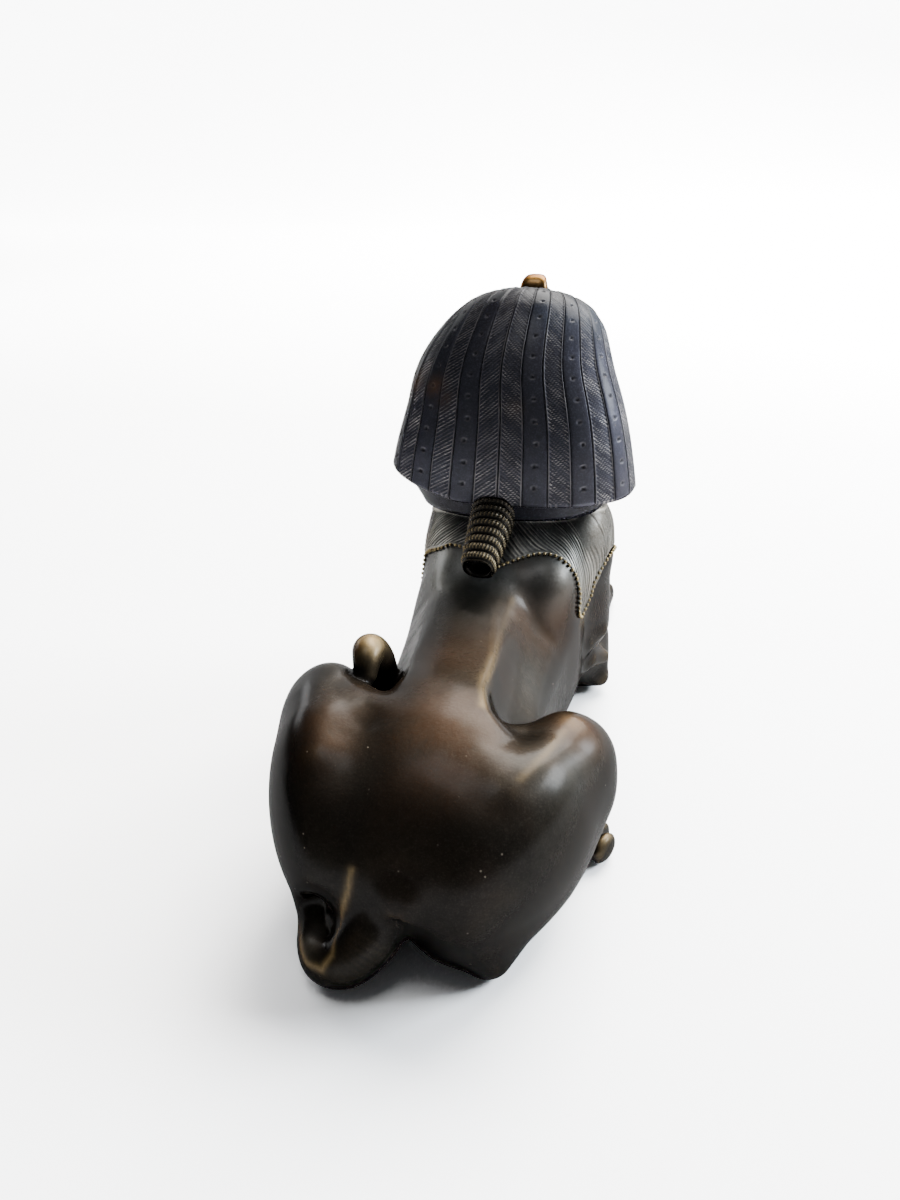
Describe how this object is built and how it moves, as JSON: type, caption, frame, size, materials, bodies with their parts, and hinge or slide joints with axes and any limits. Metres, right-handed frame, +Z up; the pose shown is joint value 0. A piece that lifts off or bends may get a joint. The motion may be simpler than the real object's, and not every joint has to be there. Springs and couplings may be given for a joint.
{
  "type": "sphinx statue",
  "caption": "Cast bronze recumbent sphinx with a striped headcloth, ribbed queue, beaded shoulder mantle and a tail looped round its haunch.",
  "frame": {"origin": "middle of the statue's box, on the surface it stands on", "axes": "+Z up, the statue faces -Y, its right side is towards -X"},
  "size_m": [0.2087, 0.5007, 0.3122],
  "materials": {
    "bronze": "dark brown patinated bronze, rubbed to brown gold on its high places and blue-black on the headcloth"
  },
  "bodies": {
    "root": {"sphinx_statue": "bronze"}
  },
  "joints": []
}
